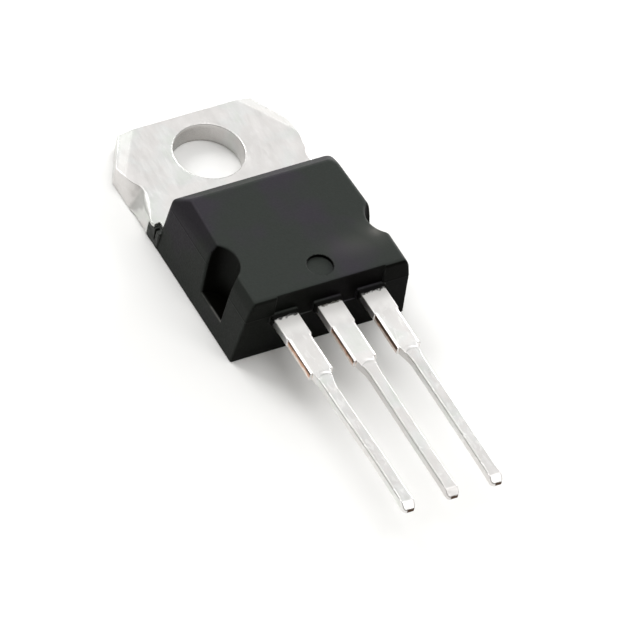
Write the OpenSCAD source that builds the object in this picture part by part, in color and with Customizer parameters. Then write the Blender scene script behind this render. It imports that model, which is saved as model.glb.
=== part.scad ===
// Three-lead voltage regulator in a flat-tab power package.
// Frame: origin at the centre of the mounting hole, on the back face of the
// tab. +Z is up out of the marked face, +Y runs past the hole to the free end
// of the tab, the leads run towards -Y. Millimetres.

/* [Heatsink tab] */
// Width of the tab across its two sides
tab_w = 10.3; // [10:0.05:10.5]
// Thickness of the tab
tab_t = 1.27; // [1.22:0.01:1.32]
// Distance from the hole centre to the free end of the tab
tab_end = 2.75; // [2.65:0.05:2.95]
// Diameter of the mounting hole
hole_d = 3.8; // [3.6:0.05:3.9]
// How far each corner is cut back along the free end
corner_x = 1.2; // [0.9:0.1:1.4]
// How far each corner is cut back along the side
corner_y = 2.1; // [1.7:0.1:2.3]
// Width of the pressed-down strip beside each cut corner
coin_w = 0.55; // [0.3:0.05:0.7]
// How far the strip falls at the cut corner
coin_drop = 0.18; // [0.1:0.02:0.26]
// How far the sheared slope on one side reaches in along the upper edge
slope_in = 0.75; // [0.4:0.05:0.8]

/* [Moulded body] */
// Width of the body at the back face
body_w = 10.16; // [10.06:0.02:10.2]
// Height of the marked face over the back face
body_h = 4.4; // [4.35:0.05:4.6]
// Distance from the hole centre to the lead end of the body, at the back face
body_front = 12.49; // [12.4:0.01:12.6]
// Length of the sloping face between the marked face and the tab end
rear_slope = 0.95; // [0.7:0.05:1]
// Upper radius of each side notch
notch_r = 1.4; // [1.25:0.05:1.5]
// Radius of each side notch at its floor
notch_floor_r = 1.08; // [0.9:0.02:1.1]
// Distance from the hole centre to the middle of the side notches
notch_y = 9.7; // [9.5:0.1:9.9]
// Radius of the round pin mark on the marked face
pin_mark_r = 0.7; // [0.5:0.05:0.75]
// Depth of the round pin mark
pin_mark_d = 0.08; // [0.04:0.02:0.12]

/* [Leads] */
// Distance between the centres of neighbouring leads
pitch = 2.54; // [2.5:0.01:2.6]
// Thickness of the lead strip
lead_t = 0.5; // [0.48:0.01:0.55]
// Height of the underside of the leads over the back face
lead_z = 2.55; // [2.5:0.01:2.6]
// Width of the wide part of a lead
lead_wide = 1.36; // [1.2:0.02:1.44]
// Width of the narrow part of a lead
lead_narrow = 0.7; // [0.61:0.01:0.8]
// Distance from the hole centre to the end of the wide part
wide_end = 16.8; // [16.4:0.1:17]
// Distance from the hole centre to the end of the taper
taper_end = 18.1; // [17.8:0.1:18.4]
// Distance from the hole centre to the tip of the leads
lead_end = 26.48; // [25.8:0.02:26.6]

/* [Inside] */
// Side of the square silicon die
die_size = 2.6; // [2:0.1:2.8]
// Thickness of the silicon die
die_t = 0.25; // [0.2:0.01:0.3]
// Thickness of the solder under the die
solder_t = 0.05; // [0.04:0.01:0.06]
// Diameter of the bond wires
wire_d = 0.15; // [0.1:0.01:0.18]

/* [Hidden] */
e = 0.01;
tw = tab_w / 2;
bw = body_w / 2;
lead_top = lead_z + lead_t;
mid_z = lead_top + 0.05;          // height of the parting line
body_y0 = -3.5;                   // rear of the body at the back face
body_y1 = -3.62;                  // rear of the body at the tab's top face
shoulder_y = -3.42;               // where the tab steps in to its waist
slug_w = 4.05;                    // half width of the tab inside the body
slug_end = -11.3;                 // inner end of the tab inside the body
die_y = -6.9;                     // centre of the die
die_top = tab_t + solder_t + die_t;
post_y0 = -9.75;                  // inner end of the bond posts
foot_h = 0.06;                    // height of the foot of a bond wire

// Everything on the far side of a plane through p, along direction n.
module beyond(p, n, s = 14) {
    l = norm(n);
    translate(p)
        rotate([0, acos(n[2] / l), atan2(n[1], n[0])])
            translate([-s / 2, -s / 2, 0]) cube(s);
}

// Half profile of a lead outside and inside the body, seen from above.
function lead_side(s) = [
    [s * lead_wide / 2, -12.0],
    [s * lead_wide / 2, -wide_end],
    [s * (lead_wide / 2 - 0.14), -wide_end - 0.07],
    [s * lead_narrow / 2, -taper_end],
    [s * lead_narrow / 2, -lead_end + 0.12],
    [s * (lead_narrow / 2 - 0.08), -lead_end]
];

function reversed(a) = [for (i = [len(a) - 1 : -1 : 0]) a[i]];

// The stamped strip of one lead, from just inside the body to the tip, with
// the upper edge of the tip sheared to a slope.
module lead_strip() {
    difference() {
        translate([0, 0, lead_z]) linear_extrude(lead_t)
            polygon(concat(lead_side(-1), reversed(lead_side(1))));
        beyond([0, -lead_end + 0.4, lead_top], [0, -0.34, 0.4], 2);
    }
}

// The flat post at the inner end of an outer lead, with its anchor neck.
module bond_post(s) {
    translate([0, 0, lead_z]) linear_extrude(lead_t) polygon([
        [-lead_wide / 2, -12.0], [-lead_wide / 2, -11.55],
        [-0.45, -11.45], [-0.45, -11.25],
        [s < 0 ? -0.95 : -1.15, -11.05], [s < 0 ? -0.95 : -1.15, post_y0],
        [s < 0 ? 1.15 : 0.95, post_y0], [s < 0 ? 1.15 : 0.95, -11.05],
        [0.45, -11.25], [0.45, -11.45],
        [lead_wide / 2, -11.55], [lead_wide / 2, -12.0]]);
}

module outer_lead(s) {
    translate([s * pitch, 0, 0]) {
        lead_strip();
        bond_post(s);
    }
}

module input_lead() { color([0.85, 0.85, 0.83]) outer_lead(-1); }

module output_lead() { color([0.85, 0.85, 0.83]) outer_lead(1); }

// What the sheared slope takes off one side of the tab.
module side_slope(s) {
    hull() polyhedron(points = [
        for (z = [tab_t, tab_t + 0.4]) each [
            [s * (tw - slope_in), -1.05, z], [s * (tw - slope_in), -2.1, z],
            [s * tw, 0.55, z], [s * tw, -2.6, z],
            [s * (tw + 0.4), 0.55, z], [s * (tw + 0.4), -2.6, z]],
        [s * tw, -1.05, 0.06], [s * tw, -2.1, 0.06],
        [s * (tw + 0.4), -1.05, 0.06], [s * (tw + 0.4), -2.1, 0.06]],
        faces = [[0, 1, 2], [3, 4, 5], [6, 7, 8], [9, 10, 11],
                 [12, 13, 14], [13, 14, 15]]);
}

// The tab, its hidden part inside the body and the centre lead are one
// stamping: the lead leaves the thick part, rises and runs out level.
module heatsink_tab() {
    color([0.84, 0.84, 0.82]) union() {
        difference() {
            union() {
                linear_extrude(tab_t) polygon([
                    [-tw, shoulder_y], [-tw, tab_end - corner_y],
                    [-tw + corner_x, tab_end], [tw - corner_x, tab_end],
                    [tw, tab_end - corner_y], [tw, shoulder_y],
                    [4.72, shoulder_y], [4.72, -4.3], [slug_w, -4.6],
                    [slug_w, slug_end], [-slug_w, slug_end],
                    [-slug_w, -4.6], [-4.72, -4.3], [-4.72, shoulder_y]]);
            }
            translate([0, 0, -1]) cylinder(h = 4, d = hole_d, $fn = 96);
            // pressed-down strips beside the cut corners
            for (s = [-1, 1]) {
                l = norm([corner_x, corner_y]);
                nx = s * corner_y / l;
                ny = corner_x / l;
                beyond([s * (tw - corner_x) - nx * coin_w,
                        tab_end - ny * coin_w, tab_t],
                       [nx * coin_drop, ny * coin_drop, coin_w], 5);
            }
            // sheared slope on one side, falling from the upper edge
            side_slope(-1);
            // undercut along the inner edges, which the moulding grips
            for (s = [-1, 1])
                translate([s * slug_w - 0.3, slug_end - 1, -1])
                    cube([0.6, 11.3 - 5 + 1, 1.45]);
            translate([-5, slug_end - 0.5, -1]) cube([10, 0.8, 1.45]);
            // cross grooves that key the moulding to the tab
            for (y = [-4.75, -10.2])
                translate([0, y, tab_t]) rotate([45, 0, 0])
                    cube([20, 0.32, 0.32], center = true);
        }
        // rising neck of the centre lead
        rotate([90, 0, 90]) translate([0, 0, -lead_wide / 2])
            linear_extrude(lead_wide) polygon([
                [slug_end + 0.25, tab_t - lead_t],
                [slug_end - 0.15, tab_t - lead_t],
                [-12.05, lead_z], [-12.05, lead_top],
                [-11.95, lead_top],
                [slug_end, tab_t], [slug_end + 0.25, tab_t]]);
        lead_strip();
    }
}

// Silicon die and the solder under it.
module silicon_die() {
    color([0.35, 0.36, 0.42])
        translate([-die_size / 2, die_y - die_size / 2, tab_t + solder_t])
            cube([die_size, die_size, die_t]);
}

module die_attach_solder() {
    color([0.6, 0.6, 0.62])
        translate([-die_size / 2 - 0.12, die_y - die_size / 2 - 0.12, tab_t])
            cube([die_size + 0.24, die_size + 0.24, solder_t]);
}

// A round bar from a to b.
module bar(a, b, d) {
    v = b - a;
    l = norm(v);
    translate(a) rotate([0, acos(v[2] / l), atan2(v[1], v[0])])
        cylinder(h = l, d = d, $fn = 24);
}

// A bond wire: a flat foot at each end, two risers and a span at height z.
module bond_wire(a, b, z) {
    v = [b[0] - a[0], b[1] - a[1], 0];
    u = v / norm(v);
    pa = [a[0], a[1], z];
    pb = [b[0] - u[0] * 0.35, b[1] - u[1] * 0.35, z - 0.1];
    union() {
        translate(a) cylinder(h = foot_h, d = wire_d * 1.9, $fn = 24);
        translate(b) cylinder(h = foot_h, d = wire_d * 1.9, $fn = 24);
        bar(a + [0, 0, foot_h / 2], pa, wire_d);
        bar(pa, pb, wire_d);
        bar(pb, b + [0, 0, foot_h], wire_d);
        translate(pa) sphere(d = wire_d * 1.08, $fn = 24);
        translate(pb) sphere(d = wire_d * 1.08, $fn = 24);
    }
}

module input_bond_wire() {
    color([0.9, 0.9, 0.92])
        bond_wire([-0.85, die_y - 0.9, die_top],
                  [-pitch + 0.55, post_y0 - 0.45, lead_top], lead_top + 0.5);
}

module output_bond_wire() {
    color([0.9, 0.9, 0.92])
        bond_wire([0.9, die_y - 0.95, die_top],
                  [pitch - 0.2, post_y0 - 0.75, lead_top], lead_top + 0.55);
}

module output_sense_wire() {
    color([0.9, 0.9, 0.92])
        bond_wire([0.95, die_y + 0.1, die_top],
                  [pitch + 0.35, post_y0 - 0.45, lead_top], lead_top + 0.45);
}

module ground_bond_wire() {
    color([0.9, 0.9, 0.92])
        bond_wire([-0.9, die_y + 0.4, die_top],
                  [-2.6, die_y + 0.9, tab_t], die_top + 0.45);
}

// All the pieces that the moulding closes round.
module inner_parts() {
    heatsink_tab();
    input_lead();
    output_lead();
    silicon_die();
    die_attach_solder();
    input_bond_wire();
    output_bond_wire();
    output_sense_wire();
    ground_bond_wire();
}

// Outside of the moulding: the side view and the end view crossed.
module body_block() {
    y1 = -body_front;
    intersection() {
        rotate([90, 0, 90]) translate([0, 0, -6]) linear_extrude(12) polygon([
            [y1, 0], [y1 - 0.17, mid_z], [y1 - 0.15, body_h - 0.1],
            [y1 - 0.06, body_h],
            [body_y1 - 0.5 - rear_slope, body_h],
            [body_y1 - 0.5, body_h - 0.85 * rear_slope],
            [body_y1, tab_t], [body_y0, 0]]);
        rotate([90, 0, 0]) translate([0, 0, 2]) linear_extrude(12) polygon([
            [-bw, 0], [-bw + 0.28, mid_z], [-bw + 0.44, body_h - 0.42],
            [-bw + 0.7, body_h], [bw - 0.7, body_h],
            [bw - 0.44, body_h - 0.42], [bw - 0.28, mid_z], [bw, 0]]);
    }
}

// Black moulding compound, one piece, closed round everything inside it.
module moulded_body() {
    color([0.16, 0.16, 0.16]) difference() {
        union() {
            difference() {
                body_block();
                for (s = [-1, 1]) {
                    // broad slope along the top edge, widest at the tab end
                    beyond([s * 4.22, -5.07, body_h], [s * 0.86, 0.035, 0.5]);
                    // corner at the tab end, top to bottom
                    beyond([s * (bw - 0.48), -4.2, body_h], [s * 1, 0.9, 0.12]);
                    // side notch, open at the side and the top
                    translate([s * (bw + 0.07), -notch_y, tab_t + 0.03])
                        cylinder(h = body_h - tab_t - 0.03,
                                 r1 = notch_floor_r, r2 = notch_r, $fn = 64);
                }
                // middle of the lead end, set back a little over the leads
                translate([-3.12, -body_front - 1.05, lead_z - 0.1])
                    cube([6.32, 1, 3]);
                // round pin mark
                translate([0, -11.4, body_h - pin_mark_d])
                    cylinder(h = 1, r = pin_mark_r, $fn = 64);
            }
            // low ears beside the tab's waist
            for (s = [-1, 1])
                translate([s > 0 ? 4.6 : -5.08, -3.95, 0])
                    cube([0.48, 3.95 + shoulder_y, 1.12]);
            // moulding that creeps out along each lead
            for (x = [-pitch, 0, pitch])
                translate([x - lead_wide / 2 - 0.1, -13.12, lead_z - 0.08])
                    cube([lead_wide + 0.2, 1.04, lead_t + 0.14]);
        }
        // narrow slot between each ear and the body
        for (s = [-1, 1])
            translate([s * 5.1 - 0.2, -4.05, 0.3]) cube([0.4, 0.12, 1.05]);
        inner_parts();
    }
}

moulded_body();
heatsink_tab();
input_lead();
output_lead();
silicon_die();
die_attach_solder();
input_bond_wire();
output_bond_wire();
output_sense_wire();
ground_bond_wire();
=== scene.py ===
"""Looks of the three-lead voltage regulator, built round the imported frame.

Shapes are written as signed distances in millimetres, in the frame of the CAD,
and turned into meshes on a grid. Everything handed to Blender is in metres.
"""

import math  # noqa: E402

import bpy  # noqa: E402
import numpy as np  # noqa: E402
from mathutils import Matrix, Vector  # noqa: E402


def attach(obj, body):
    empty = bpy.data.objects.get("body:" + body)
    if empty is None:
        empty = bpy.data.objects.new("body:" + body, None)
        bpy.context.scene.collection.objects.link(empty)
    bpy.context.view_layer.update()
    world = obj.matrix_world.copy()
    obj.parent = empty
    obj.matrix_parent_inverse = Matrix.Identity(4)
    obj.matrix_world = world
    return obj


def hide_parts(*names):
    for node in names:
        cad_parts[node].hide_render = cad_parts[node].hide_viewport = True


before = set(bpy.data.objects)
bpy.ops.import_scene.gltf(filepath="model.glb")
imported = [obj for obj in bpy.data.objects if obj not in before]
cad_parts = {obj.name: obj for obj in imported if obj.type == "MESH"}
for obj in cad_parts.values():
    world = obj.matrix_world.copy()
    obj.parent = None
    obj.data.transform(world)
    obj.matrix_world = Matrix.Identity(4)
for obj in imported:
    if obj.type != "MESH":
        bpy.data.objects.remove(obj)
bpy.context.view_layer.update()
scene = bpy.context.scene

# ----------------------------------------------------------------- camera
# Rows of the view: right, down, forward. The eye is in millimetres.
VIEW = (
    (0.8728678, -0.4636778, 0.1520026),
    (-0.2582395, -0.7032685, -0.6623638),
    (0.4140220, 0.5389030, -0.7336003),
)
EYE = (-222.4825, -302.0041, 395.4475)
FOCAL_PX = 10502.63

cam_data = bpy.data.cameras.new("camera")
cam_data.sensor_fit = "HORIZONTAL"
cam_data.sensor_width = 36.0
cam_data.lens = FOCAL_PX / 640.0 * 36.0
cam_data.clip_start = 0.05
cam_data.clip_end = 20.0
cam = bpy.data.objects.new("camera", cam_data)
scene.collection.objects.link(cam)
pose = Matrix.Identity(4)
for row in range(3):
    pose[row][0] = VIEW[0][row]
    pose[row][1] = -VIEW[1][row]
    pose[row][2] = -VIEW[2][row]
    pose[row][3] = EYE[row] * 0.001
cam.matrix_world = pose
scene.camera = cam


# ------------------------------------------------------ distance functions
def plane(x, y, z, p, n):
    length = math.sqrt(n[0] ** 2 + n[1] ** 2 + n[2] ** 2)
    return (
        (x - p[0]) * (n[0] / length)
        + (y - p[1]) * (n[1] / length)
        + (z - p[2]) * (n[2] / length)
    )


def vmax(*parts):
    out = parts[0]
    for q in parts[1:]:
        out = np.maximum(out, q)
    return out


def vmin(*parts):
    out = parts[0]
    for q in parts[1:]:
        out = np.minimum(out, q)
    return out


def rmax(r, *parts):
    """Intersection with edges rounded to radius r."""
    total = 0.0
    for q in parts:
        total = total + np.maximum(q + r, 0.0) ** 2
    return np.minimum(vmax(*parts), -r) + np.sqrt(total)


def rmin(r, *parts):
    """Union with inner corners filleted to radius r."""
    return -rmax(r, *[-q for q in parts])


def smax(k, a, b):
    """Soft intersection for faces that meet at a shallow angle."""
    h = np.maximum(k - np.abs(a - b), 0.0) / k
    return np.maximum(a, b) + h * h * k * 0.25


def poly(x, y, points):
    """Signed distance to a closed outline in the plane."""
    best = None
    inside = None
    n = len(points)
    for i in range(n):
        ax, ay = points[i]
        bx, by = points[(i + 1) % n]
        ex, ey = bx - ax, by - ay
        wx, wy = x - ax, y - ay
        t = np.clip((wx * ex + wy * ey) / (ex * ex + ey * ey), 0.0, 1.0)
        d = (wx - ex * t) ** 2 + (wy - ey * t) ** 2
        best = d if best is None else np.minimum(best, d)
        cross = ((ay > y) != (by > y)) & (
            x < (bx - ax) * (y - ay) / (by - ay + 1e-12 * (by == ay)) + ax
        )
        inside = cross if inside is None else inside ^ cross
    return np.where(inside, -1.0, 1.0) * np.sqrt(best)


def box(x, y, z, lo, hi, r=0.0):
    q = (
        np.abs(x - (lo[0] + hi[0]) / 2) - (hi[0] - lo[0]) / 2,
        np.abs(y - (lo[1] + hi[1]) / 2) - (hi[1] - lo[1]) / 2,
        np.abs(z - (lo[2] + hi[2]) / 2) - (hi[2] - lo[2]) / 2,
    )
    return rmax(r, *q) if r > 0 else vmax(*q)


def waves(x, y, z, size, seed):
    """Smooth repeatable unevenness, about -1 to 1, of that size in mm."""
    rng = np.random.RandomState(seed)
    out = 0.0
    for _ in range(7):
        d = rng.normal(size=3)
        d = d / np.linalg.norm(d) * (2 * math.pi / size) * rng.uniform(0.6, 1.6)
        out = out + np.sin(x * d[0] + y * d[1] + z * d[2] + rng.uniform(0, 6.283))
    return out / 3.2


def bump(t, width):
    return np.exp(-((t / width) ** 2))


def ramp(t, a, b):
    s = np.clip((t - a) / (b - a), 0.0, 1.0)
    return s * s * (3 - 2 * s)


# --------------------------------------------------------------- the metal
LEAD_Z0, LEAD_Z1 = 2.55, 3.05
TAB_T = 1.27
TAB = [
    (-5.15, -3.42), (-5.15, 0.65), (-3.95, 2.75), (3.95, 2.75), (5.15, 0.65),
    (5.15, -3.42), (5.08, -3.62), (4.72, -3.54), (4.72, -4.3), (4.05, -4.6),
    (4.05, -11.3), (-4.05, -11.3), (-4.05, -4.6), (-4.72, -4.3),
    (-4.72, -3.54), (-5.08, -3.62),
]
# small nicks pressed across the leads: middle y, depth, width, slant
NICKS = {
    -1: [(-21.9, 0.030, 0.10, 0.35), (-23.2, 0.022, 0.08, -0.2),
         (-25.05, 0.028, 0.10, 0.25), (-18.25, 0.03, 0.12, 0.3)],
    0: [(-23.3, 0.028, 0.10, -0.3), (-25.1, 0.024, 0.09, 0.2),
        (-20.4, 0.016, 0.10, 0.2)],
    1: [(-19.8, 0.026, 0.10, 0.3), (-23.3, 0.030, 0.11, -0.25),
        (-25.05, 0.026, 0.09, 0.3)],
}


def lead_half(y, wide):
    """Half width of a lead's strip along its length."""
    w = np.where(y > -14.38, 0.705, 0.675)
    taper = np.clip((-16.86 - y) / 1.24, 0.0, 1.0)
    narrow = 0.35 + wide * (1 - taper) ** 1.8
    w = np.where(y < -16.83, narrow, w)
    return np.where(y < -26.3, 0.35 - 0.10 * ramp(-y, 26.3, 26.5), w)


def lead_strip(x, y, z, s, y_in=-11.9):
    """Strip of one lead from inside the body to the tip."""
    u = x - s * 2.54
    # the thin end wanders sideways a little, as handled leads do
    far = np.clip((-17.5 - y) / 9.0, 0.0, 1.0)
    sway = {-1: 0.02, 0: -0.015, 1: 0.015}[s] * np.sin(far * 3.1)
    if s < 0:
        sway = sway - 0.09 * ramp(-y, 16.9, 18.2) * (1 - ramp(-y, 19.0, 23.5))
    u = u - sway
    side = np.abs(u) - lead_half(y, np.where(u > 0, 0.10, 0.20))
    # sheared sides of the wide part roll over at the top
    wide = ramp(y, -16.95, -16.75) * (1 - ramp(y, -14.45, -14.3))
    roll = (0.085 * wide) * np.clip((np.abs(u) - 0.47) / 0.205, 0, 1) ** 2
    top = z - LEAD_Z1 + roll
    for y0, depth, width, slant in NICKS[s]:
        top = top + depth * bump(y - y0 - slant * u, width) * (
            0.55 + 0.45 * np.sin(9 * u + 40 * y0)
        )
    top = top + 0.006 * waves(x, y, z * 0, 1.6, 40 + s)
    # shallow groove curving across the step down to the narrow part
    top = top + 0.035 * bump(y + 17.02 + 0.9 * (u * u), 0.09) * ramp(
        0.62 - np.abs(u), 0.0, 0.2
    )
    low = LEAD_Z0 - z
    # burr under the tip
    tip_y = 26.44 + 0.04 * np.clip((LEAD_Z1 - z) / 0.5, 0, 1)
    tip = -y - tip_y
    slope = plane(x, y, z, (0, -26.10, LEAD_Z1), (0, -0.34, 0.4))
    end = y - y_in
    worn = 0.045 + 0.055 * ramp(-y, 17.0, 17.8) * (1 - ramp(-y, 25.6, 26.0))
    shape = rmax(worn, side, top, low, tip, slope)
    return np.maximum(shape, end)


POST = {
    s: [
        (-0.68, -12.0), (-0.68, -11.55), (-0.45, -11.45), (-0.45, -11.25),
        (-0.95 if s < 0 else -1.15, -11.05), (-0.95 if s < 0 else -1.15, -9.75),
        (1.15 if s < 0 else 0.95, -9.75), (1.15 if s < 0 else 0.95, -11.05),
        (0.45, -11.25), (0.45, -11.45), (0.68, -11.55), (0.68, -12.0),
    ]
    for s in (-1, 1)
}


def outer_lead(s):
    def f(x, y, z):
        post = rmax(
            0.03, poly(x - s * 2.54, y, POST[s]), z - LEAD_Z1, LEAD_Z0 - z
        )
        return np.minimum(lead_strip(x, y, z, s), post)

    return f


NX, NY = 2.1 / math.hypot(1.2, 2.1), 1.2 / math.hypot(1.2, 2.1)
# how far the upper edge of each side of the tab is sheared inward along it
SCOOP_Y = np.linspace(-3.4, 1.1, 181)


def along(ys, xs):
    line = np.interp(SCOOP_Y, ys, xs)
    return np.convolve(np.pad(line, 8, "edge"), np.ones(17) / 17.0, "valid")


SCOOP_LEFT = along(
    [-3.4, -3.0, -2.50, -2.1, -1.6, -1.20, -1.0, -0.74, -0.50, -0.12, 0.40, 0.95],
    [0.0, 0.05, 0.17, 0.33, 0.55, 0.68, 0.62, 0.44, 0.31, 0.17, 0.10, 0.0],
)
SCOOP_RIGHT = along(
    [-3.2, -2.7, -2.15, -1.85, -1.47, -1.2, -0.96, -0.55, -0.3, 0.1],
    [0.0, 0.06, 0.22, 0.17, 0.07, 0.16, 0.13, 0.01, 0.05, 0.0],
)


def tab_plate(x, y, z):
    """The flat plate alone, with its hole, coined corners and grip cuts."""
    outline = poly(x, y, TAB)
    ax = np.abs(x)
    # pressed-down strips beside the cut corners, dying out along the side
    facet = (
        (ax - 4.83) * 0.833 * 0.17 + (y - 0.10) * 0.553 * 0.17 + (z - TAB_T) * 0.60
    ) / math.hypot(0.17, 0.60)
    lip = 0.022 * bump(
        (ax - 3.95) * NX + (y - 2.75) * NY + 0.05, 0.05
    ) * ramp(y, 0.3, 0.8)
    top = smax(0.03, z - TAB_T, facet - lip)
    # faint dish round the hole and unevenness of the rolled strip
    rad = np.sqrt(x * x + y * y)
    top = top + 0.012 * bump(rad - 2.15, 0.3) + 0.004 * waves(x, y, z * 0, 2.8, 7)
    bottom = -z
    plate = rmax(0.05, outline, top, bottom)
    # sheared slopes along the upper edge of each side, next to the corner
    inward = np.where(
        x < 0, np.interp(y, SCOOP_Y, SCOOP_LEFT), np.interp(y, SCOOP_Y, SCOOP_RIGHT)
    )
    slant = (ax - 5.15 + inward * np.clip(z / TAB_T, 0.0, 1.1) ** 1.15) * 0.82
    soft = 0.03 + 0.20 * (1 - ramp(y, -1.9, -1.1)) * ramp(y, -3.4, -2.6)
    plate = rmax(soft, plate, slant + 0.006 * waves(x, y, z, 0.7, 9))
    # the moulding wraps under the shoulders here
    plate = vmax(plate, -vmax(4.90 - ax, y + 3.07, z - 1.08))
    hole = rad - 1.9
    plate = rmax(0.035, plate, -hole)
    # undercut along the inner edges, which the moulding grips
    under = vmax(z - 0.45, vmax(3.75 - ax, y + 5.0))
    under2 = vmax(z - 0.45, y + 11.0)
    plate = vmax(plate, -under, -under2)
    for gy in (-4.75, -10.2):
        groove = (np.abs(y - gy) + np.abs(z - TAB_T) - 0.226) * 0.707
        plate = np.maximum(plate, -groove)
    return plate


def tab(x, y, z):
    neck_line = [
        (-11.05, 0.77), (-11.45, 0.77), (-12.05, 2.55), (-12.05, 3.05),
        (-11.95, 3.05), (-11.3, 1.27), (-11.05, 1.27),
    ]
    neck = rmax(0.04, poly(y, z, neck_line), np.abs(x) - 0.68)
    strip = lead_strip(x, y, z, 0)
    return vmin(tab_plate(x, y, z), neck, strip)


# ---------------------------------------------------------------- the body
def outside(x, y, z):
    """Outside of the moulding, before notches and marks."""
    ax = np.abs(x)
    lower = plane(ax, y, z, (5.08, 0, 0), (3.10, 0, 0.28))
    upper = plane(ax, y, z, (4.80, 0, 3.10), (0.88, 0, 0.16))
    bevel = plane(ax, y, z, (4.64, 0, 3.98), (0.42, 0, 0.26))
    slope = plane(ax, y, z, (4.22, -5.07, 4.40), (0.86, 0.035, 0.5))
    f_low = plane(x, y, z, (0, -12.49, 0), (0, -3.10, -0.17))
    f_up = plane(x, y, z, (0, -12.66, 3.10), (0, -1.20, 0.02))
    f_bev = plane(x, y, z, (0, -12.64, 4.30), (0, -0.10, 0.09))
    r_top = plane(x, y, z, (0, -5.07, 4.40), (0, 0.8075, 0.95))
    r_mid = plane(x, y, z, (0, -4.12, 3.5925), (0, 2.3225, 0.5))
    r_low = plane(x, y, z, (0, -3.62, 1.27), (0, 1.27, 0.12))
    corner = plane(ax, y, z, (4.60, -4.2, 4.40), (1.0, 0.9, 0.12))
    side = smax(0.02, lower, upper)
    top_side = smax(0.03, bevel, slope)
    front = smax(0.02, f_low, f_up)
    rear = smax(0.03, r_mid, r_low)
    # fine raised line where the two halves of the mould met
    seam = 0.011 * bump(z - 3.10, 0.028)
    side = side - seam
    front = front - seam
    top = z - 4.40 + 0.003 * waves(x, y, z * 0, 3.4, 3)
    # the rear corners of the upper face are well rounded
    back_corner = rmax(np.where(x < 0, 0.14, 0.40), top_side, r_top)
    shape = rmax(0.10, side, back_corner, front, f_bev, rear, corner, top)
    return rmax(0.04, shape, -z)


def notch_rise(z):
    return (z - 1.30) / 3.1


def notch_radius(ax, y, z):
    """Distance from the leaning axis of a side notch."""
    h = notch_rise(z)
    return np.sqrt((ax - 5.15) ** 2 + (y + 9.7 - 0.22 * h) ** 2)


def body(x, y, z):
    ax = np.abs(x)
    shape = outside(x, y, z)
    # side notches, open at the side and the top
    cone = notch_radius(ax, y, z) - (1.08 + notch_rise(z) * 0.27)
    notch = rmax(0.06, cone * 0.99, 1.30 - z)
    high = ramp(z, 3.5, 4.3)
    brow = 0.035 + 0.045 * high + 0.10 * (1 - high) * ramp(y, -9.9, -9.3)
    shape = rmax(brow, shape, -notch)
    # middle of the lead end, set back a little over the leads
    recess = vmax(x - 3.20, -3.12 - x, 2.45 - z, y + 12.54)
    shape = rmax(0.03, shape, -recess)
    # round pin mark: a shallow dish
    pin = np.sqrt(x * x + (y + 11.4) ** 2)
    dish = vmax(pin - 0.70, 4.24 - z + 0.004 * waves(x, y, z * 0, 0.5, 11))
    shape = rmax(0.02, shape, -dish)
    # low ears beside the waist of the tab
    ear = box(ax, y, z, (4.60, -4.20, 0.0), (5.09, -3.07, 1.08), 0.04)
    ear = ear + 0.012 * waves(x, y, z, 0.5, 12)
    shape = np.minimum(shape, ear)
    slot = box(ax, y, z, (4.86, -3.90, 0.42), (5.4, -3.76, 1.45), 0.0)
    shape = rmax(0.02, shape, -slot)
    # moulding that creeps out along each lead, with an uneven end
    for s in (-1, 0, 1):
        u = x - s * 2.54
        creep = -12.93 + 0.06 * waves(u * 1.0, z, y * 0, 0.45, 20 + s)
        collar = rmax(
            0.12,
            np.abs(u) - 0.80 + 0.02 * waves(y, z, u * 0, 0.4, 30 + s),
            creep - y,
            z - 3.12 + 0.10 * ramp(-y, 12.6, 13.15),
            2.46 - z,
            y + 12.0,
        )
        shape = rmin(0.06, shape, collar)
    # closed round the metal
    metal = vmin(
        tab_plate(x, y, z),
        rmax(0.04, poly(y, z, [
            (-11.05, 0.77), (-11.45, 0.77), (-12.05, 2.55), (-12.05, 3.05),
            (-11.95, 3.05), (-11.3, 1.27), (-11.05, 1.27),
        ]), np.abs(x) - 0.68),
    )
    for s in (-1, 0, 1):
        metal = np.minimum(metal, lead_strip(x, y, z, s))
    for s in (-1, 1):
        metal = np.minimum(
            metal,
            vmax(poly(x - s * 2.54, y, POST[s]), z - LEAD_Z1, LEAD_Z0 - z),
        )
    die = box(x, y, z, (-1.42, -8.32, 1.0), (1.42, -5.48, 1.57))
    return vmax(shape, -metal, -die)


# ------------------------------------------------------- distance to mesh
def lines(*spans):
    """Grid lines: (start, end, step) spans one after another."""
    out = []
    for a, b, h in spans:
        n = max(1, int(round((b - a) / h)))
        out.extend(np.linspace(a, b, n + 1)[:-1])
    out.append(spans[-1][1])
    return np.array(out, float)


def gradient(f, x, y, z, e):
    return np.stack(
        [
            (f(x + e, y, z) - f(x - e, y, z)) / (2 * e),
            (f(x, y + e, z) - f(x, y - e, z)) / (2 * e),
            (f(x, y, z + e) - f(x, y, z - e)) / (2 * e),
        ],
        1,
    )


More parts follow.
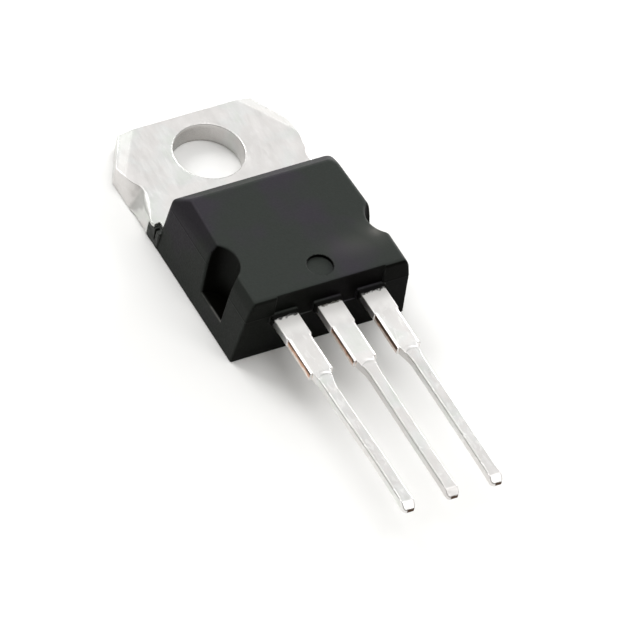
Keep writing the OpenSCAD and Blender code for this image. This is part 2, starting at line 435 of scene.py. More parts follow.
def contour(f, xs, ys, zs):
    """Vertices, faces and normals of the surface f = 0, in mm.

    One vertex per crossed cell, put where the faces that cross it meet, so
    edges stay crisp. f is negative inside."""
    shape = (len(xs), len(ys), len(zs))
    v = np.broadcast_to(
        f(xs[:, None, None], ys[None, :, None], zs[None, None, :]), shape
    )
    s = v < 0
    count = np.zeros((shape[0] - 1, shape[1] - 1, shape[2] - 1), np.int8)
    for a in (0, 1):
        for b in (0, 1):
            for c in (0, 1):
                count += s[
                    a : shape[0] - 1 + a, b : shape[1] - 1 + b, c : shape[2] - 1 + c
                ]
    active = (count > 0) & (count < 8)
    ids = np.full(active.shape, -1, np.int64)
    ci, cj, ck = np.nonzero(active)
    n = len(ci)
    ids[ci, cj, ck] = np.arange(n)
    grids = (xs, ys, zs)
    faces, points, cells = [], [], []
    for axis in range(3):
        lo = [slice(None)] * 3
        hi = [slice(None)] * 3
        lo[axis], hi[axis] = slice(None, -1), slice(1, None)
        for other in range(3):
            if other != axis:
                lo[other] = hi[other] = slice(1, -1)
        crossed = s[tuple(lo)] != s[tuple(hi)]
        idx = list(np.nonzero(crossed))
        for other in range(3):
            if other != axis:
                idx[other] = idx[other] + 1
        i, j, k = idx
        first = v[i, j, k]
        step = [0, 0, 0]
        step[axis] = 1
        second = v[i + step[0], j + step[1], k + step[2]]
        g = grids[axis]
        along = idx[axis]
        t = first / (first - second)
        p = np.stack([xs[i], ys[j], zs[k]], 1)
        a0, a1 = g[along].copy(), g[along + 1].copy()
        fa, fb = first.copy(), second.copy()
        for _ in range(3):  # find the crossing along the edge
            t = np.clip(fa / (fa - fb), 0.02, 0.98)
            mid = a0 + (a1 - a0) * t
            q = p.copy()
            q[:, axis] = mid
            fm = f(q[:, 0], q[:, 1], q[:, 2])
            same = (fm < 0) == (fa < 0)
            a0, fa = np.where(same, mid, a0), np.where(same, fm, fa)
            a1, fb = np.where(same, a1, mid), np.where(same, fb, fm)
        p[:, axis] = a0 + (a1 - a0) * (fa / (fa - fb + 1e-15))
        b, c = (axis + 1) % 3, (axis + 2) % 3
        around = []
        for db, dc in ((-1, -1), (0, -1), (0, 0), (-1, 0)):
            cell = [i.copy(), j.copy(), k.copy()]
            cell[b] = cell[b] + db
            cell[c] = cell[c] + dc
            around.append(ids[cell[0], cell[1], cell[2]])
        quad = np.stack(around, 1)
        out = s[i, j, k]
        quad[~out] = quad[~out][:, ::-1]
        faces.append(quad)
        points.append(p)
        cells.append(np.stack(around, 1))
    faces = np.concatenate(faces)
    points = np.concatenate(points)
    cells = np.concatenate(cells)
    normal = gradient(f, points[:, 0], points[:, 1], points[:, 2], 0.003)
    normal /= np.linalg.norm(normal, axis=1)[:, None] + 1e-12
    flat = cells.ravel()
    rep = np.repeat(np.arange(len(points)), 4)
    nn, pp = normal[rep], points[rep]
    d = (nn * pp).sum(1)

    def gather(w):
        return np.bincount(flat, weights=w, minlength=n)

    number = gather(np.ones(len(flat)))
    mass = np.stack([gather(pp[:, a]) for a in range(3)], 1) / number[:, None]
    m = np.zeros((n, 3, 3))
    rhs = np.zeros((n, 3))
    for a in range(3):
        rhs[:, a] = gather(nn[:, a] * d)
        for b in range(a, 3):
            m[:, a, b] = m[:, b, a] = gather(nn[:, a] * nn[:, b])
    hold = 0.06
    m += hold * np.eye(3)
    rhs += hold * mass
    vert = np.linalg.solve(m, rhs[:, :, None])[:, :, 0]
    cell_lo = np.stack([xs[ci], ys[cj], zs[ck]], 1)
    cell_hi = np.stack([xs[ci + 1], ys[cj + 1], zs[ck + 1]], 1)
    span = cell_hi - cell_lo
    vert = np.clip(vert, cell_lo - 0.05 * span, cell_hi + 0.05 * span)
    limit = 0.35 * span.min(1)
    for _ in range(2):  # settle on the true surface
        g = gradient(f, vert[:, 0], vert[:, 1], vert[:, 2], 0.003)
        g2 = (g * g).sum(1) + 1e-6
        move = f(vert[:, 0], vert[:, 1], vert[:, 2])[:, None] * g / g2[:, None]
        size = np.linalg.norm(move, axis=1) + 1e-12
        move *= np.minimum(1.0, limit / size)[:, None]
        vert = vert - move
    g = gradient(f, vert[:, 0], vert[:, 1], vert[:, 2], 0.008)
    g /= np.linalg.norm(g, axis=1)[:, None] + 1e-12
    return vert, faces, g


def make_piece(name, f, xs, ys, zs, masks=None):
    vert, faces, normal = contour(f, xs, ys, zs)
    mesh = bpy.data.meshes.new(name)
    mesh.vertices.add(len(vert))
    mesh.vertices.foreach_set("co", (vert * 0.001).astype(np.float32).ravel())
    mesh.loops.add(len(faces) * 4)
    mesh.loops.foreach_set("vertex_index", faces.astype(np.int32).ravel())
    mesh.polygons.add(len(faces))
    mesh.polygons.foreach_set(
        "loop_start", np.arange(0, len(faces) * 4, 4, dtype=np.int32)
    )
    mesh.update(calc_edges=True)
    mesh.validate(clean_customdata=False)
    mesh.polygons.foreach_set("use_smooth", np.ones(len(mesh.polygons), bool))
    mesh.normals_split_custom_set_from_vertices(normal.astype(np.float32).tolist())
    for key, fn in (masks or {}).items():
        values = np.clip(fn(vert, normal), 0.0, 1.0)
        att = mesh.attributes.new(key, "FLOAT", "POINT")
        att.data.foreach_set("value", values.astype(np.float32))
    obj = bpy.data.objects.new(name, mesh)
    scene.collection.objects.link(obj)
    print("piece", name, "vertices", len(vert), "triangles", 2 * len(faces))
    return obj


# --------------------------------------------------------------- materials
class Tree:
    """A short way to write shader nodes."""

    def __init__(self, name):
        self.mat = bpy.data.materials.new(name)
        self.mat.use_nodes = True
        self.nt = self.mat.node_tree
        self.nt.nodes.clear()
        self.out = self.nt.nodes.new("ShaderNodeOutputMaterial")
        self.bsdf = self.nt.nodes.new("ShaderNodeBsdfPrincipled")
        self.nt.links.new(self.bsdf.outputs[0], self.out.inputs["Surface"])
        coord = self.nt.nodes.new("ShaderNodeTexCoord")
        scale = self.nt.nodes.new("ShaderNodeVectorMath")
        scale.operation = "SCALE"
        scale.inputs["Scale"].default_value = 1000.0
        self.nt.links.new(coord.outputs["Object"], scale.inputs[0])
        self.mm = scale.outputs[0]  # position in millimetres

    def put(self, socket, value):
        if isinstance(value, bpy.types.NodeSocket):
            self.nt.links.new(value, socket)
        else:
            socket.default_value = value

    def set(self, **values):
        for key, value in values.items():
            self.put(self.bsdf.inputs[key.replace("_", " ")], value)

    def stretch(self, factors):
        n = self.nt.nodes.new("ShaderNodeVectorMath")
        n.operation = "MULTIPLY"
        self.nt.links.new(self.mm, n.inputs[0])
        n.inputs[1].default_value = factors
        return n.outputs[0]

    def noise(self, scale, detail=3.0, rough=0.55, vector=None, distort=0.0):
        n = self.nt.nodes.new("ShaderNodeTexNoise")
        self.nt.links.new(vector or self.mm, n.inputs["Vector"])
        n.inputs["Scale"].default_value = scale
        n.inputs["Detail"].default_value = detail
        n.inputs["Roughness"].default_value = rough
        n.inputs["Distortion"].default_value = distort
        return n.outputs["Fac"]

    def cells(self, scale, feature="F1", vector=None):
        n = self.nt.nodes.new("ShaderNodeTexVoronoi")
        n.feature = feature
        self.nt.links.new(vector or self.mm, n.inputs["Vector"])
        n.inputs["Scale"].default_value = scale
        return n.outputs["Distance"]

    def math(self, op, a, b=0.0, clamp=False):
        n = self.nt.nodes.new("ShaderNodeMath")
        n.operation = op
        n.use_clamp = clamp
        self.put(n.inputs[0], a)
        self.put(n.inputs[1], b)
        return n.outputs[0]

    def span(self, value, a, b, c, d, smooth=False):
        n = self.nt.nodes.new("ShaderNodeMapRange")
        n.interpolation_type = "SMOOTHSTEP" if smooth else "LINEAR"
        self.put(n.inputs["Value"], value)
        n.inputs["From Min"].default_value = a
        n.inputs["From Max"].default_value = b
        n.inputs["To Min"].default_value = c
        n.inputs["To Max"].default_value = d
        return n.outputs["Result"]

    def mix(self, fac, a, b):
        n = self.nt.nodes.new("ShaderNodeMix")
        n.data_type = "RGBA"
        self.put(n.inputs[0], fac)
        self.put(n.inputs[6], a)
        self.put(n.inputs[7], b)
        return n.outputs[2]

    def blendf(self, fac, a, b):
        n = self.nt.nodes.new("ShaderNodeMix")
        n.data_type = "FLOAT"
        self.put(n.inputs[0], fac)
        self.put(n.inputs[2], a)
        self.put(n.inputs[3], b)
        return n.outputs[0]

    def mask(self, name):
        n = self.nt.nodes.new("ShaderNodeAttribute")
        n.attribute_type = "GEOMETRY"
        n.attribute_name = name
        return n.outputs["Fac"]

    def axis(self, which):
        n = self.nt.nodes.new("ShaderNodeSeparateXYZ")
        self.nt.links.new(self.mm, n.inputs[0])
        return n.outputs[which]

    def relief(self, height, depth_mm, strength=1.0, under=None):
        n = self.nt.nodes.new("ShaderNodeBump")
        n.inputs["Strength"].default_value = strength
        n.inputs["Distance"].default_value = depth_mm * 0.001
        self.put(n.inputs["Height"], height)
        if under is not None:
            self.nt.links.new(under, n.inputs["Normal"])
        return n.outputs["Normal"]


def rgb(r, g, b):
    return (r, g, b, 1.0)


def epoxy():
    t = Tree("moulding_compound")
    fine = t.noise(26.0, 4.0, 0.6)
    grain = t.noise(9.0, 3.0, 0.5)
    broad = t.noise(0.30, 2.0, 0.5)
    tint = t.mix(
        t.span(broad, 0.47, 0.66, 0.0, 1.0, True),
        rgb(0.0058, 0.0100, 0.0066),
        rgb(0.0100, 0.0068, 0.0140),
    )
    speck = t.span(t.cells(7.5), 0.0, 0.09, 1.0, 0.0)
    colour = t.mix(t.math("MULTIPLY", speck, 0.25), tint, rgb(0.05, 0.05, 0.048))
    # painted highlight: patches and lines painted lighter
    painted_highlight = t.mask("painted_highlight")
    colour = t.mix(
        t.math("MULTIPLY", painted_highlight, t.span(grain, 0.2, 0.8, 0.7, 1.0)),
        colour, rgb(0.105, 0.102, 0.094),
    )
    # painted highlight: the edges are painted lighter
    edge = t.mask("edge")
    colour = t.mix(
        t.math("MULTIPLY", edge, t.span(grain, 0.3, 0.7, 0.15, 0.6)),
        colour,
        rgb(0.062, 0.064, 0.060),
    )
    # painted shade: flanks, lead end, notch insides and other hollows are painted near-black
    painted_shade = t.mask("painted_shade")
    colour = t.mix(painted_shade, colour, rgb(0.0012, 0.0011, 0.0006))
    rough = t.span(grain, 0.25, 0.75, 0.50, 0.62)
    rough = t.math("SUBTRACT", rough, t.math("MULTIPLY", edge, 0.12))
    n1 = t.relief(fine, 0.006, 0.6)
    n2 = t.relief(grain, 0.012, 0.5, n1)
    t.set(
        Base_Color=colour, Roughness=rough, Normal=n2,
        Specular_IOR_Level=t.span(painted_shade, 0.0, 1.0, 0.31, 0.01),
    )
    return t.mat


def tin(name, bright, rough_lo, rough_hi, copper=False, blotch=0.25,
        flash_and_shade_colour=rgb(0.05, 0.045, 0.04)):
    t = Tree(name)
    fine = t.noise(22.0, 4.0, 0.6)
    cloud = t.noise(1.1, 4.0, 0.6)
    drawn = t.noise(9.0, 3.0, 0.6, vector=t.stretch((1.0, 0.12, 1.0)))
    smear = t.noise(0.9, 2.0, 0.5, vector=t.stretch((1.0, 0.6, 1.0)), distort=1.2)
    base = t.mix(
        t.span(cloud, 0.3, 0.7, 0.0, 1.0),
        rgb(bright * 0.99, bright * 0.985, bright * 0.965),
        rgb(bright * 1.0, bright * 1.0, bright * 0.99),
    )
    base = t.mix(
        t.span(smear, 0.62, 0.72, 0.0, 0.35), base,
        rgb(bright * 0.86, bright * 0.85, bright * 0.82),
    )
    rough = t.span(cloud, 0.25, 0.75, rough_lo, rough_hi)
    rough = t.math(
        "ADD", rough, t.span(drawn, 0.3, 0.7, -0.04, 0.06)
    )
    warm = t.noise(0.55, 2.0, 0.5, distort=0.6)
    base = t.mix(
        t.span(warm, 0.42, 0.58, 0.0, 0.6, True), base,
        rgb(bright * 1.0, bright * 0.955, bright * 0.935),
    )
    base = t.mix(
        t.span(warm, 0.44, 0.34, 0.0, 0.5, True), base,
        rgb(bright * 0.93, bright * 0.97, bright * 0.90),
    )
    patch = t.noise(3.2, 3.0, 0.6, vector=t.stretch((1.0, 0.45, 1.0)), distort=0.8)
    base = t.mix(
        t.span(patch, 0.52, 0.64, 0.0, blotch, True), base,
        rgb(bright * 1.25, bright * 1.24, bright * 1.22),
    )
    # matte tin with painted light: near-white colour on the lead tops near the body
    matte_tin_and_painted_light = t.mask("matte_tin_and_painted_light")
    base = t.mix(matte_tin_and_painted_light, base, rgb(0.90, 0.885, 0.865))
    # painted shade: turned edges and coined strips painted darker
    dull_and_painted_shade = t.mask("dull_and_painted_shade")
    base = t.mix(dull_and_painted_shade, base, rgb(bright * 0.62, bright * 0.62, bright * 0.60))
    # resin flash near the body, and painted shade in the hole and along the foot of the tab
    flash_and_shade = t.mask("flash_and_shade")
    base = t.mix(
        t.math("MULTIPLY", flash_and_shade, t.span(fine, 0.35, 0.6, 0.5, 1.0)),
        base, flash_and_shade_colour,
    )
    rough = t.math("ADD", rough, t.math("MULTIPLY", flash_and_shade, 0.2))
    if copper:
        cut = t.mask("cut")
        high = t.mask("dark_copper")
        streak = t.noise(14.0, 2.0, 0.5, vector=t.stretch((1.0, 1.0, 0.2)))
        red = t.mix(
            t.span(streak, 0.35, 0.65, 0.0, 1.0),
            rgb(0.78, 0.50, 0.36), rgb(0.55, 0.33, 0.22),
        )
        # painted dark reflection on the cut copper, and darker copper near the tip
        red = t.mix(high, red, rgb(0.09, 0.055, 0.038))
        red = t.mix(
            t.mask("smeared"), red,
            t.mix(t.span(streak, 0.35, 0.65, 0.0, 1.0),
                  rgb(0.96, 0.89, 0.85), rgb(0.84, 0.74, 0.68)),
        )
        base = t.mix(cut, base, red)
        rough = t.blendf(cut, rough, 0.5)
    n1 = t.relief(fine, 0.004, 0.5)
    n2 = t.relief(drawn, 0.008, 0.45, n1)
    n3 = t.relief(cloud, 0.03, 0.35, n2)
    rough = t.math("ADD", rough, t.math("MULTIPLY", matte_tin_and_painted_light, 0.15))
    rough = t.math("ADD", rough, t.math("MULTIPLY", dull_and_painted_shade, 0.15))
    t.set(
        Base_Color=base, Roughness=rough, Normal=n3,
        Metallic=t.span(matte_tin_and_painted_light, 0.0, 1.0, 1.0, 0.15),
    )
    return t.mat


def silicon():
    t = Tree("silicon")
    x, y = t.axis(0), t.axis(1)
    gx = t.math("ABSOLUTE", t.math("SINE", t.math("MULTIPLY", x, 19.0)))
    gy = t.math("ABSOLUTE", t.math("SINE", t.math("MULTIPLY", y, 13.0)))
    lanes = t.math("MINIMUM", gx, gy)
    colour = t.mix(
        t.span(lanes, 0.1, 0.2, 0.0, 1.0),
        rgb(0.42, 0.42, 0.44), rgb(0.10, 0.11, 0.17),
    )
    colour = t.mix(t.span(t.noise(6.0), 0.35, 0.65, 0.0, 0.4), colour, rgb(0.16, 0.10, 0.16))
    t.set(
        Base_Color=colour,
        Roughness=t.span(lanes, 0.1, 0.3, 0.3, 0.16),
        Normal=t.relief(lanes, 0.004, 0.5),
    )
    t.bsdf.inputs["Metallic"].default_value = 0.6
    return t.mat


def solder():
    t = Tree("die_solder")
    n = t.noise(8.0, 4.0)
    t.set(
        Base_Color=t.mix(n, rgb(0.36, 0.36, 0.37), rgb(0.55, 0.55, 0.56)),
        Roughness=t.span(n, 0.3, 0.7, 0.32, 0.5),
        Normal=t.relief(n, 0.01, 0.6),
    )
    t.bsdf.inputs["Metallic"].default_value = 1.0
    return t.mat


def wire():
    t = Tree("bond_wire")
    n = t.noise(30.0, 3.0)
    t.set(
        Base_Color=t.mix(n, rgb(0.74, 0.74, 0.76), rgb(0.88, 0.88, 0.89)),
        Roughness=t.span(n, 0.3, 0.7, 0.22, 0.36),
        Normal=t.relief(n, 0.003, 0.5),
    )
    t.bsdf.inputs["Metallic"].default_value = 1.0
    return t.mat


def paper():
    t = Tree("floor")
    n = t.noise(0.2, 3.0)
    t.set(
        Base_Color=t.mix(n, rgb(0.94, 0.936, 0.926), rgb(0.95, 0.946, 0.936)),
        Normal=t.relief(t.noise(3.0, 3.0), 0.01, 0.1),
    )
    t.bsdf.inputs["Roughness"].default_value = 0.9
    t.bsdf.inputs["Specular IOR Level"].default_value = 0.1
    return t.mat


# ------------------------------------------------------------------ pieces
def bent(f, e=0.10):
    """How far a surface turns within e: near 0 on flats, up on edges."""

    def g(vert, normal):
        p = vert - normal * e
        inner = f(p[:, 0], p[:, 1], p[:, 2])
        return np.clip((inner + e) / e * 2.2, 0, 1)

    return g


def body_painted_shade(vert, normal):
    """Painted shade: darker flanks, lead end, notch insides, pin mark wall, ear slot and
    lead roots.
    """
    x, y, z = vert.T
    ax = np.abs(x)
    rad = notch_radius(ax, y, z)
    fit = ramp(1.08 + notch_rise(z) * 0.27 + 0.05 - rad, 0.0, 0.04)
    hollow = fit * ramp(z, 1.22, 1.30) * ramp(4.40 - z, 0.02, 0.10)
    facing = ramp(-(ax - 5.15) / np.maximum(rad, 0.3), 0.55, 0.98)
    # painted shade inside the notches, a little lighter high on the inner wall
    wall = hollow * (0.985 - 0.17 * facing * ramp(z, 1.5, 3.0))
    # the outer edge of each notch floor is kept out of the painted shade, for the painted
    # highlight line there
    lip = bump(z - 1.30, 0.06) * ramp(ax, 4.90, 4.95) * ramp(1.15 - rad, 0.0, 0.05)
    wall = wall * (1 - lip)
    # painted shade on the sloping flanks, by how far they turn from the top
    flank = 0.42 * ramp(0.80 - normal[:, 2], 0.0, 0.35)
    flank = flank + 0.10 * ramp(0.5 - normal[:, 2], 0.0, 0.2) * ramp(-y, 8.0, 12.0)
    # painted shade on the lead end, deeper towards the right
    front = ramp(-normal[:, 1], 0.55, 0.9)
    end = 0.77 + 0.10 * ramp(x, -3.3, -1.5) + 0.06 * ramp(x, 0.3, 1.5)
    end = end * front * ramp(-y, 12.2, 12.4)
    # painted shade on the wall of the pin mark, in the ear slot and on the moulding round
    # the lead roots
    pin = np.sqrt(x * x + (y + 11.4) ** 2)
    mark = 0.97 * ramp(0.07 - np.abs(pin - 0.70), 0.0, 0.03) * ramp(
        np.hypot(normal[:, 0], normal[:, 1]), 0.3, 0.7
    )
    slot = 0.97 * ramp(y, -3.93, -3.88) * ramp(-3.74 - y, 0.0, 0.04) * ramp(
        ax, 4.80, 4.84) * ramp(z, 0.36, 0.44) * ramp(1.47 - z, 0.0, 0.05)
    collar = 0.88 * ramp(-y, 12.62, 12.72) * ramp(3.3 - z, 0.0, 0.1)
    return vmax(wall, flank * (1 - lip), end, mark, slot, collar)


# painted highlight: a soft bright patch on the top near the right notch for a reflection,
# and a thin bright line along the outer edge of each notch floor
def body_painted_highlight(vert, normal):
    x, y, z = vert.T
    near = 0.30 * bump(np.hypot(x - 3.75, y + 10.35), 0.85)
    near = near + 0.7 * bump(np.hypot(x - 3.86, y + 10.28), 0.30)
    trail = 0.22 * bump(np.hypot((x - 2.4) * 0.62, (y + 10.75) * 1.3), 0.95)
    rad = notch_radius(np.abs(x), y, z)
    lip = (
        bump(z - 1.30, 0.06) * ramp(np.abs(x), 4.90, 4.95)
        * ramp(1.15 - rad, 0.0, 0.05)
    )
    return np.maximum(np.maximum(near, trail) * ramp(normal[:, 2], 0.2, 0.6), lip)


def tip_cut(vert, normal, s):
    """Bare copper low on the end of a lead, where it was cropped last."""
    x, y, z = vert.T
    u = x - s * 2.54
    jag = 0.05 * waves(u, z * 0, z * 0, 0.35, 50 + s)
    return (
        ramp(-y, 26.40, 26.43)
        * ramp(-normal[:, 1], 0.70, 0.9)
        * ramp(2.80 - z + jag, 0.0, 0.06)
        * ramp(u + 0.16 + jag, 0.0, 0.08)
    )


LEADS_Y = [(-26.62, -26.0, 0.035), (-26.0, -17.3, 0.062), (-17.3, -16.6, 0.035),
           (-16.6, -14.6, 0.06), (-14.6, -12.9, 0.04), (-12.9, -11.8, 0.07)]


def lead_masks(s):
    def cut(vert, normal):
        y = vert[:, 1]
        zone = ramp(-y, 14.36 + 0.02, 14.42 + 0.02) * (1 - ramp(-y, 16.84, 16.90))
        side = ramp(np.abs(normal[:, 0]), 0.62, 0.80)
        return np.maximum(zone * side, tip_cut(vert, normal, s))

    # painted dark reflection along the top of each cut side; the copper also goes darker
    # towards the tip
    def dark_copper(vert, normal):
        y, z = vert[:, 1], vert[:, 2]
        jag = 0.03 * waves(y, z * 0, z * 0, 0.5, 60 + s)
        line = {-1: 2.90, 0: 2.88, 1: 2.80}[s]
        return np.maximum(
            ramp(z + jag, line - 0.02, line + 0.04) * 0.95 * ramp(y, -20.0, -19.0),
            ramp(-y, 25.0, 26.0),
        )

    def smeared(vert, normal):
        y, z = vert[:, 1], vert[:, 2]
        jag = 0.035 * waves(y, z * 0, z * 0, 0.7, 90 + s)
        return ramp(2.80 - z + jag, 0.0, 0.07) * ramp(y, -20.0, -19.0)

    # moulding resin bled over the lead near the body, with a ragged edge
    def flash_and_shade(vert, normal):
        x, y, z = vert.T
        n = waves(x - s * 2.54, y, z, 0.22, 70 + s)
        n2 = waves(x - s * 2.54, y, z, 0.5, 80 + s)
        start = -12.96 + 0.06 * n + 0.04 * n2
        return ramp(y - start, -0.05, 0.06)

    # matte tin on the lead tops near the body, painted near-white as well: painted light
    # where the body shades the roots
    def matte_tin_and_painted_light(vert, normal):
        x, y, z = vert.T
        ragged = 0.12 * waves(x - s * 2.54, y, z, 0.6, 100 + s)
        up = ramp(normal[:, 2], 0.3, 0.7) * (1 - flash_and_shade(vert, normal))
        root = ramp(y + ragged, -14.6, -13.6)
        return up * (0.20 * ramp(y + ragged, -16.95, -16.75) + 0.72 * root)

    # painted shade: the turned edges of the narrow leads are painted darker, and made
    # rougher
    def dull_and_painted_shade(vert, normal):
        y = vert[:, 1]
        turned = ramp(normal[:, 2], 0.20, 0.40) * ramp(0.985 - normal[:, 2], 0.0, 0.05)
        return 0.9 * turned * ramp(-y, 16.9, 17.4) * (1 - ramp(-y, 25.9, 26.0))

    return {
        "cut": cut, "dark_copper": dark_copper, "smeared": smeared, "flash_and_shade": flash_and_shade,
        "matte_tin_and_painted_light": matte_tin_and_painted_light, "dull_and_painted_shade": dull_and_painted_shade,
    }


def tab_masks():
    own = lead_masks(0)

    # painted shade: the hole wall darker on its rear side and towards its foot, and a dark
    # line along the foot of the plate sides; on the lead part, the resin flash near the body
    def flash_and_shade(vert, normal):
        x, y, z = vert.T
        hole = np.sqrt(x * x + y * y)
        side = 0.5 - 0.5 * (x * 0.93 - y * 0.37) / np.maximum(hole, 0.5)
        inside = ramp(2.0 - hole, 0.0, 0.1)
        lower = ramp(0.18 - z, 0.0, 0.14) * inside * (0.25 + 0.55 * side)
        wall = (0.01 + 0.54 * side) * inside * ramp(1.24 - z, 0.0, 0.3)
        foot = 0.25 * ramp(0.10 - z, 0.0, 0.1) * ramp(np.abs(x), 4.6, 5.0)
        lead = np.where(z > 2.0, own["flash_and_shade"](vert, normal), 0.0)
        return np.maximum(np.maximum(lower, wall), np.maximum(foot, lead))

    # turned faces at the left side and round the hole and the coined strips are painted
    # darker and made rougher; on the coined strips the darkening is painted shade
    def dull_and_painted_shade(vert, normal):
        x, y, z = vert.T
        nz = normal[:, 2]
        turned = ramp(nz, 0.15, 0.35) * ramp(0.955 - nz, 0.0, 0.02)
        torn = 0.75 * ramp(-4.0 - x, 0.0, 0.1) * ramp(-1.0 - y, 0.0, 0.3)
        rim = 0.5 * ramp(2.05 - np.hypot(x, y), 0.0, 0.08)
        coined = (
            0.50 * ramp(nz, 0.92, 0.95) * ramp(0.985 - nz, 0.0, 0.015) * ramp(y, -0.6, 0.1)
        )
        plate = np.maximum(turned * np.maximum(torn, rim), coined)
        return np.where(z > 2.0, own["dull_and_painted_shade"](vert, normal), plate)

    def only_lead(fn):
        return lambda vert, normal: np.where(vert[:, 2] > 2.0, fn(vert, normal), 0.0)

    return {
        "cut": only_lead(own["cut"]),
        "dark_copper": only_lead(own["dark_copper"]),
        "smeared": only_lead(own["smeared"]),
        "matte_tin_and_painted_light": only_lead(own["matte_tin_and_painted_light"]),
        "dull_and_painted_shade": dull_and_painted_shade,
        "flash_and_shade": flash_and_shade,
    }


mat_body = epoxy()
# the tab's olive darkening colour serves the resin flash on its lead and the painted shade
# in the hole and along its foot
mat_tab = tin("tinned_tab", 0.72, 0.36, 0.46, copper=True, blotch=0.12,
              flash_and_shade_colour=rgb(0.080, 0.070, 0.046))
mat_lead = tin("tinned_lead", 0.76, 0.29, 0.40, copper=True, blotch=0.5,
               flash_and_shade_colour=rgb(0.016, 0.014, 0.012))

body_obj = make_piece(
    "moulded_body_shell",
    body,
    lines((-5.25, -0.78, 0.088), (-0.78, 0.78, 0.05), (0.78, 5.25, 0.088)),
    lines((-13.35, -12.50, 0.05), (-12.50, -12.15, 0.07), (-12.15, -10.65, 0.05),
          (-10.65, -4.2, 0.088), (-4.2, -3.0, 0.05)),
    lines((-0.08, 0.12, 0.04), (0.12, 1.22, 0.085), (1.22, 1.40, 0.05),
          (1.40, 3.04, 0.085), (3.04, 3.16, 0.02), (3.16, 4.26, 0.08),
          (4.26, 4.48, 0.03)),
    # masks: edges painted lighter as a highlight, painted shade, painted highlights
    {"edge": bent(outside), "painted_shade": body_painted_shade, "painted_highlight": body_painted_highlight},
)
body_obj.data.materials.append(mat_body)
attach(body_obj, "root")
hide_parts("moulded_body")

tab_obj = make_piece(
    "heatsink_tab_plate",
    tab,
    lines((-5.25, -4.55, 0.05), (-4.55, -1.95, 0.10), (-1.95, -0.72, 0.085),
          (-0.72, 0.72, 0.04), (0.72, 1.95, 0.085), (1.95, 4.55, 0.10),
          (4.55, 5.25, 0.05)),
    lines(*LEADS_Y[:-1], (-12.9, -3.2, 0.10), (-3.2, 2.4, 0.07), (2.4, 2.85, 0.05)),
    lines((-0.06, 0.12, 0.04), (0.12, 1.08, 0.08), (1.08, 1.34, 0.035),
          (1.34, 2.48, 0.10), (2.48, 3.12, 0.035)),
    tab_masks(),
)
tab_obj.data.materials.append(mat_tab)
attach(tab_obj, "root")
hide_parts("heatsink_tab")

for s, node in ((-1, "input_lead"), (1, "output_lead")):
    c = s * 2.54
    obj = make_piece(
        node + "_strip",
        outer_lead(s),
        lines((c - 1.25, c - 0.76, 0.08), (c - 0.76, c + 0.76, 0.038),
              (c + 0.76, c + 1.25, 0.08)),
        lines(*LEADS_Y[:-1], (-12.9, -9.65, 0.07)),
        lines((2.49, 3.11, 0.034)),
        lead_masks(s),
    )
    obj.data.materials.append(mat_lead)
    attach(obj, "root")
    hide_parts(node)

# the pieces sealed inside keep their CAD shape and get their own finish
for names, material in (
    (("silicon_die",), silicon()),
    (("die_attach_solder",), solder()),
    (("input_bond_wire", "output_bond_wire", "output_sense_wire",
      "ground_bond_wire"), wire()),
):
    for name in names:
        node_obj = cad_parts[name]
        if node_obj.material_slots:
            for slot in node_obj.material_slots:
                slot.material = material
        else:
            node_obj.data.materials.append(material)

# ------------------------------------------------------------------- stage
floor_mesh = bpy.data.meshes.new("floor")
R = 1.4
ring = 48
fv = [(0.0, -0.012, -0.00002)] + [
    (R * math.cos(2 * math.pi * i / ring), R * math.sin(2 * math.pi * i / ring) - 0.012,
     -0.00002)
    for i in range(ring)
]
ff = [(0, 1 + i, 1 + (i + 1) % ring) for i in range(ring)]
floor_mesh.from_pydata(fv, [], ff)
floor_mesh.update()
floor = bpy.data.objects.new("floor", floor_mesh)
floor_mesh.materials.append(paper())
scene.collection.objects.link(floor)


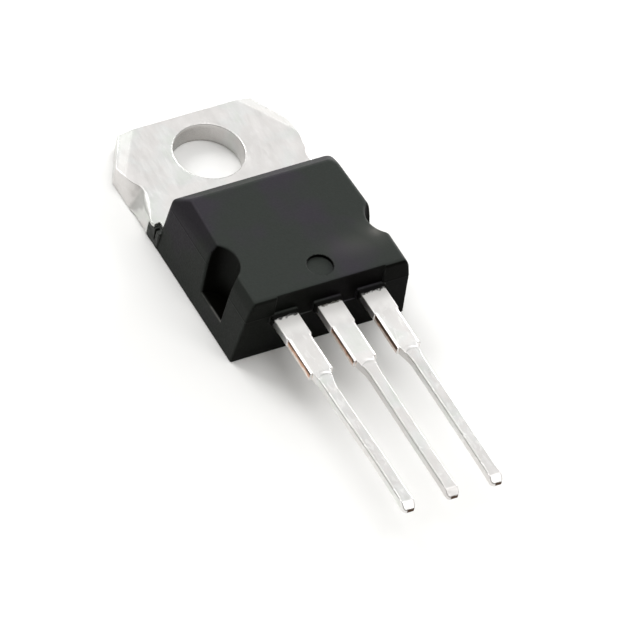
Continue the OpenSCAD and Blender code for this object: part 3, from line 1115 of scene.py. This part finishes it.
def area(name, at, aim, size, power, colour=(1, 1, 1), size_y=None):
    data = bpy.data.lights.new(name, "AREA")
    data.shape = "RECTANGLE"
    data.size = size
    data.size_y = size_y or size
    data.energy = power
    data.color = colour
    obj = bpy.data.objects.new(name, data)
    obj.location = at
    direction = Vector(aim) - Vector(at)
    obj.rotation_mode = "QUATERNION"
    obj.rotation_quaternion = direction.to_track_quat("-Z", "Y")
    scene.collection.objects.link(obj)
    return obj


MID = (0.0, -0.010, 0.0)
area("key_right", (0.62, 0.30, 0.20), MID, 0.40, 2.2, (1.0, 0.998, 0.99), 0.26)
area("fill_back", (-0.16, 0.40, 0.42), MID, 0.26, 1.4)
area("overhead", (0.05, -0.12, 0.63), MID, 0.35, 1.05)
area("front_small", (0.33, -0.50, 0.50), MID, 0.22, 0.55)
area("card_left", (-0.60, 0.38, 0.11), MID, 0.50, 0.20, (1.0, 0.98, 0.965), 0.20)

# A studio that is light overhead and behind, and dim in front and at the left.
world = bpy.data.worlds.new("studio")
scene.world = world
world.use_nodes = True
wt = world.node_tree
wt.nodes.clear()
w_out = wt.nodes.new("ShaderNodeOutputWorld")
w_bg = wt.nodes.new("ShaderNodeBackground")
w_co = wt.nodes.new("ShaderNodeTexCoord")
w_dot = wt.nodes.new("ShaderNodeVectorMath")
w_dot.operation = "DOT_PRODUCT"
w_dot.inputs[1].default_value = Vector((0.38, 0.50, 0.78)).normalized()
w_ramp = wt.nodes.new("ShaderNodeMapRange")
w_ramp.interpolation_type = "SMOOTHSTEP"
w_mix = wt.nodes.new("ShaderNodeMix")
w_mix.data_type = "RGBA"
wt.links.new(w_co.outputs["Generated"], w_dot.inputs[0])
wt.links.new(w_dot.outputs["Value"], w_ramp.inputs["Value"])
w_ramp.inputs["From Min"].default_value = -0.1
w_ramp.inputs["From Max"].default_value = 0.85
w_mix.inputs[6].default_value = (0.20, 0.192, 0.172, 1.0)
w_mix.inputs[7].default_value = (0.88, 0.885, 0.88, 1.0)
wt.links.new(w_ramp.outputs["Result"], w_mix.inputs[0])
wt.links.new(w_mix.outputs[2], w_bg.inputs["Color"])
w_bg.inputs["Strength"].default_value = 0.9
wt.links.new(w_bg.outputs[0], w_out.inputs["Surface"])

scene.view_settings.view_transform = "Standard"
scene.view_settings.look = "None"
scene.view_settings.exposure = 0.0
scene.view_settings.gamma = 1.0
